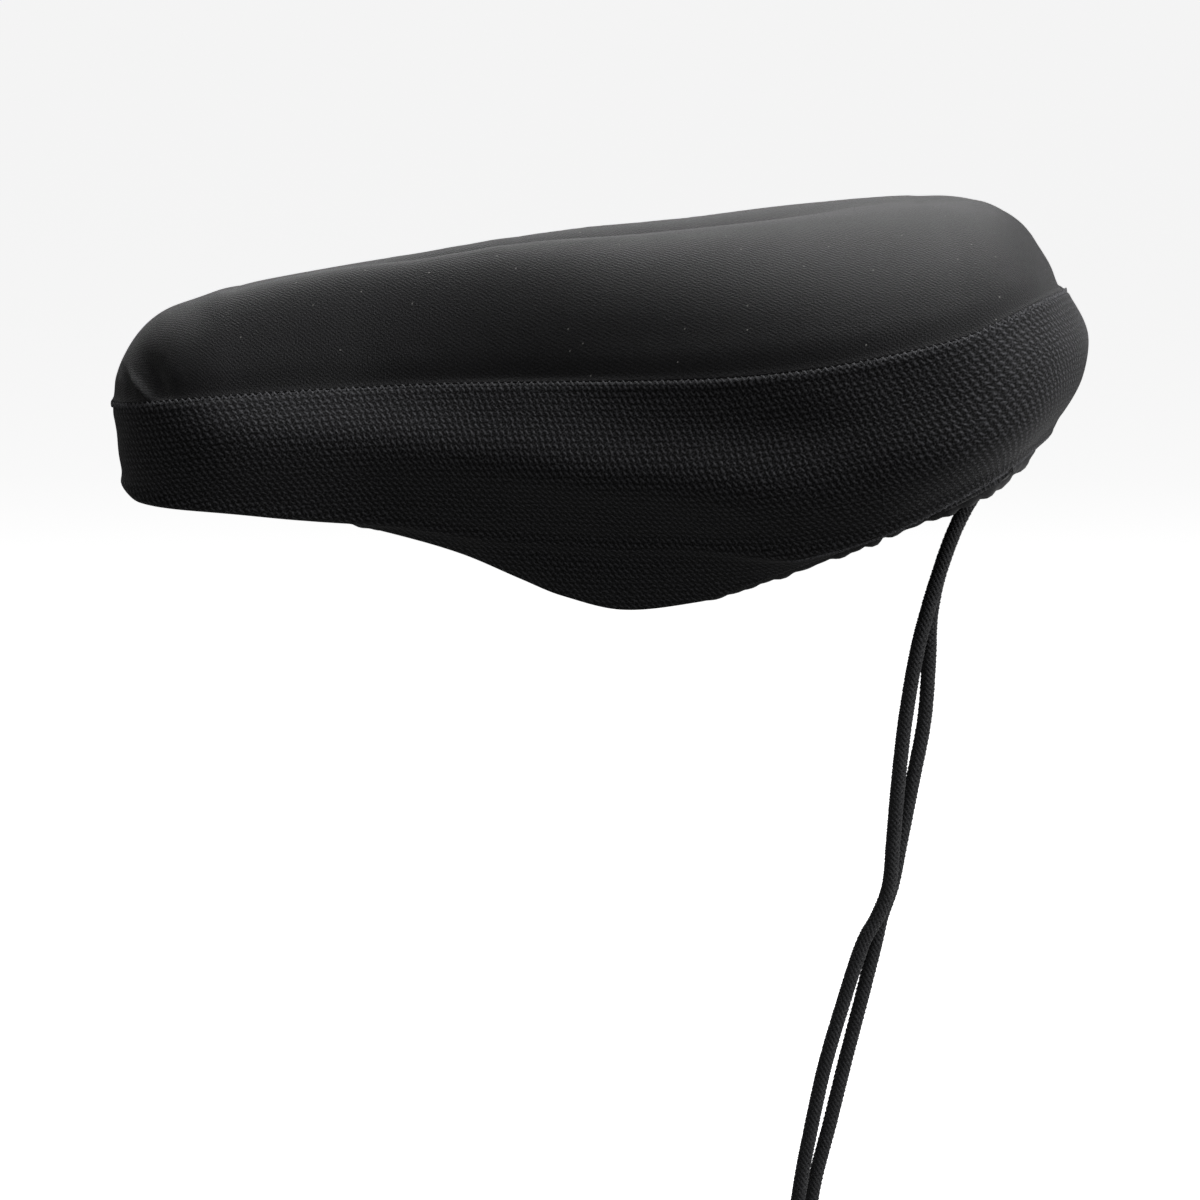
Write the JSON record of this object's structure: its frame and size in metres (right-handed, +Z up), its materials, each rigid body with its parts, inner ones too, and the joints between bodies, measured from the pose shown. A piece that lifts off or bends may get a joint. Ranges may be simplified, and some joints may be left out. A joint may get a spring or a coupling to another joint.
{
  "type": "bicycle saddle cover",
  "caption": "Padded fabric cover that pulls over a bicycle saddle: smooth crown over foam and gel, knitted mesh skirt, and a drawstring hem whose cord ends hang free.",
  "frame": {"origin": "Middle of the flat patch on the underside of the lining, where the cover rests on the saddle's top", "axes": "+X towards the saddle's rear, +Y towards the saddle's left side, +Z up; the nose points to -X"},
  "size_m": [0.276, 0.1938, 0.3526],
  "materials": {
    "jersey": "smooth black stretch twill with a soft sheen",
    "knit": "black knitted air mesh, matt",
    "foam": "dark grey open-cell foam",
    "gel": "clear bluish gel",
    "lining": "black slip-resistant woven lining",
    "tape": "black matt tape",
    "cord": "black braided cord"
  },
  "bodies": {
    "root": {"top_panel": "jersey", "side_skirt": "knit", "foam_pad": "foam", "gel_insert_left": "gel", "gel_insert_right": "gel", "lining": "lining", "hem_casing": "tape", "drawstring": "cord", "drawstring_tail_left": "cord", "drawstring_tail_right": "cord"}
  },
  "joints": []
}
